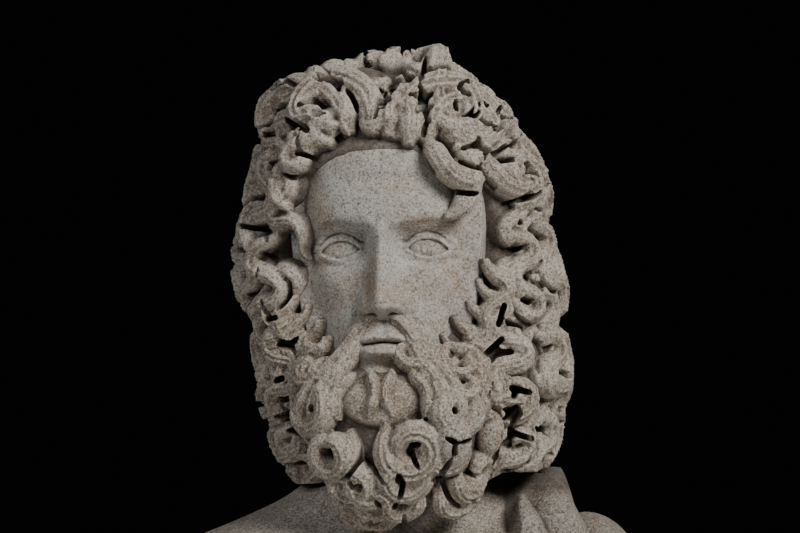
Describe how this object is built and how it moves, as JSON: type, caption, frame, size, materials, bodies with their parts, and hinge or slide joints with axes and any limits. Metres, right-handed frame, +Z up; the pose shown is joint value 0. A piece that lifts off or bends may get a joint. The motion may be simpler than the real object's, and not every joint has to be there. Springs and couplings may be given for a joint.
{
  "type": "marble bust of a bearded god",
  "caption": "Marble bust of a bearded healing god: a head with deep drilled curls and a full beard on a nude chest, a mantle over one shoulder.",
  "frame": {"origin": "centre of the flat underside, under the neck's axis", "axes": "+Z up, the figure looks towards -Y, its left shoulder with the mantle is on +X"},
  "size_m": [0.4814, 0.259, 0.5349],
  "materials": {
    "marble_head": "weathered white marble, warm brown patina on hair and beard, paler and greyer on the face",
    "marble_bust": "weathered white marble with a grey-brown patina"
  },
  "bodies": {
    "root": {"head": "marble_head", "bust": "marble_bust"}
  },
  "joints": []
}
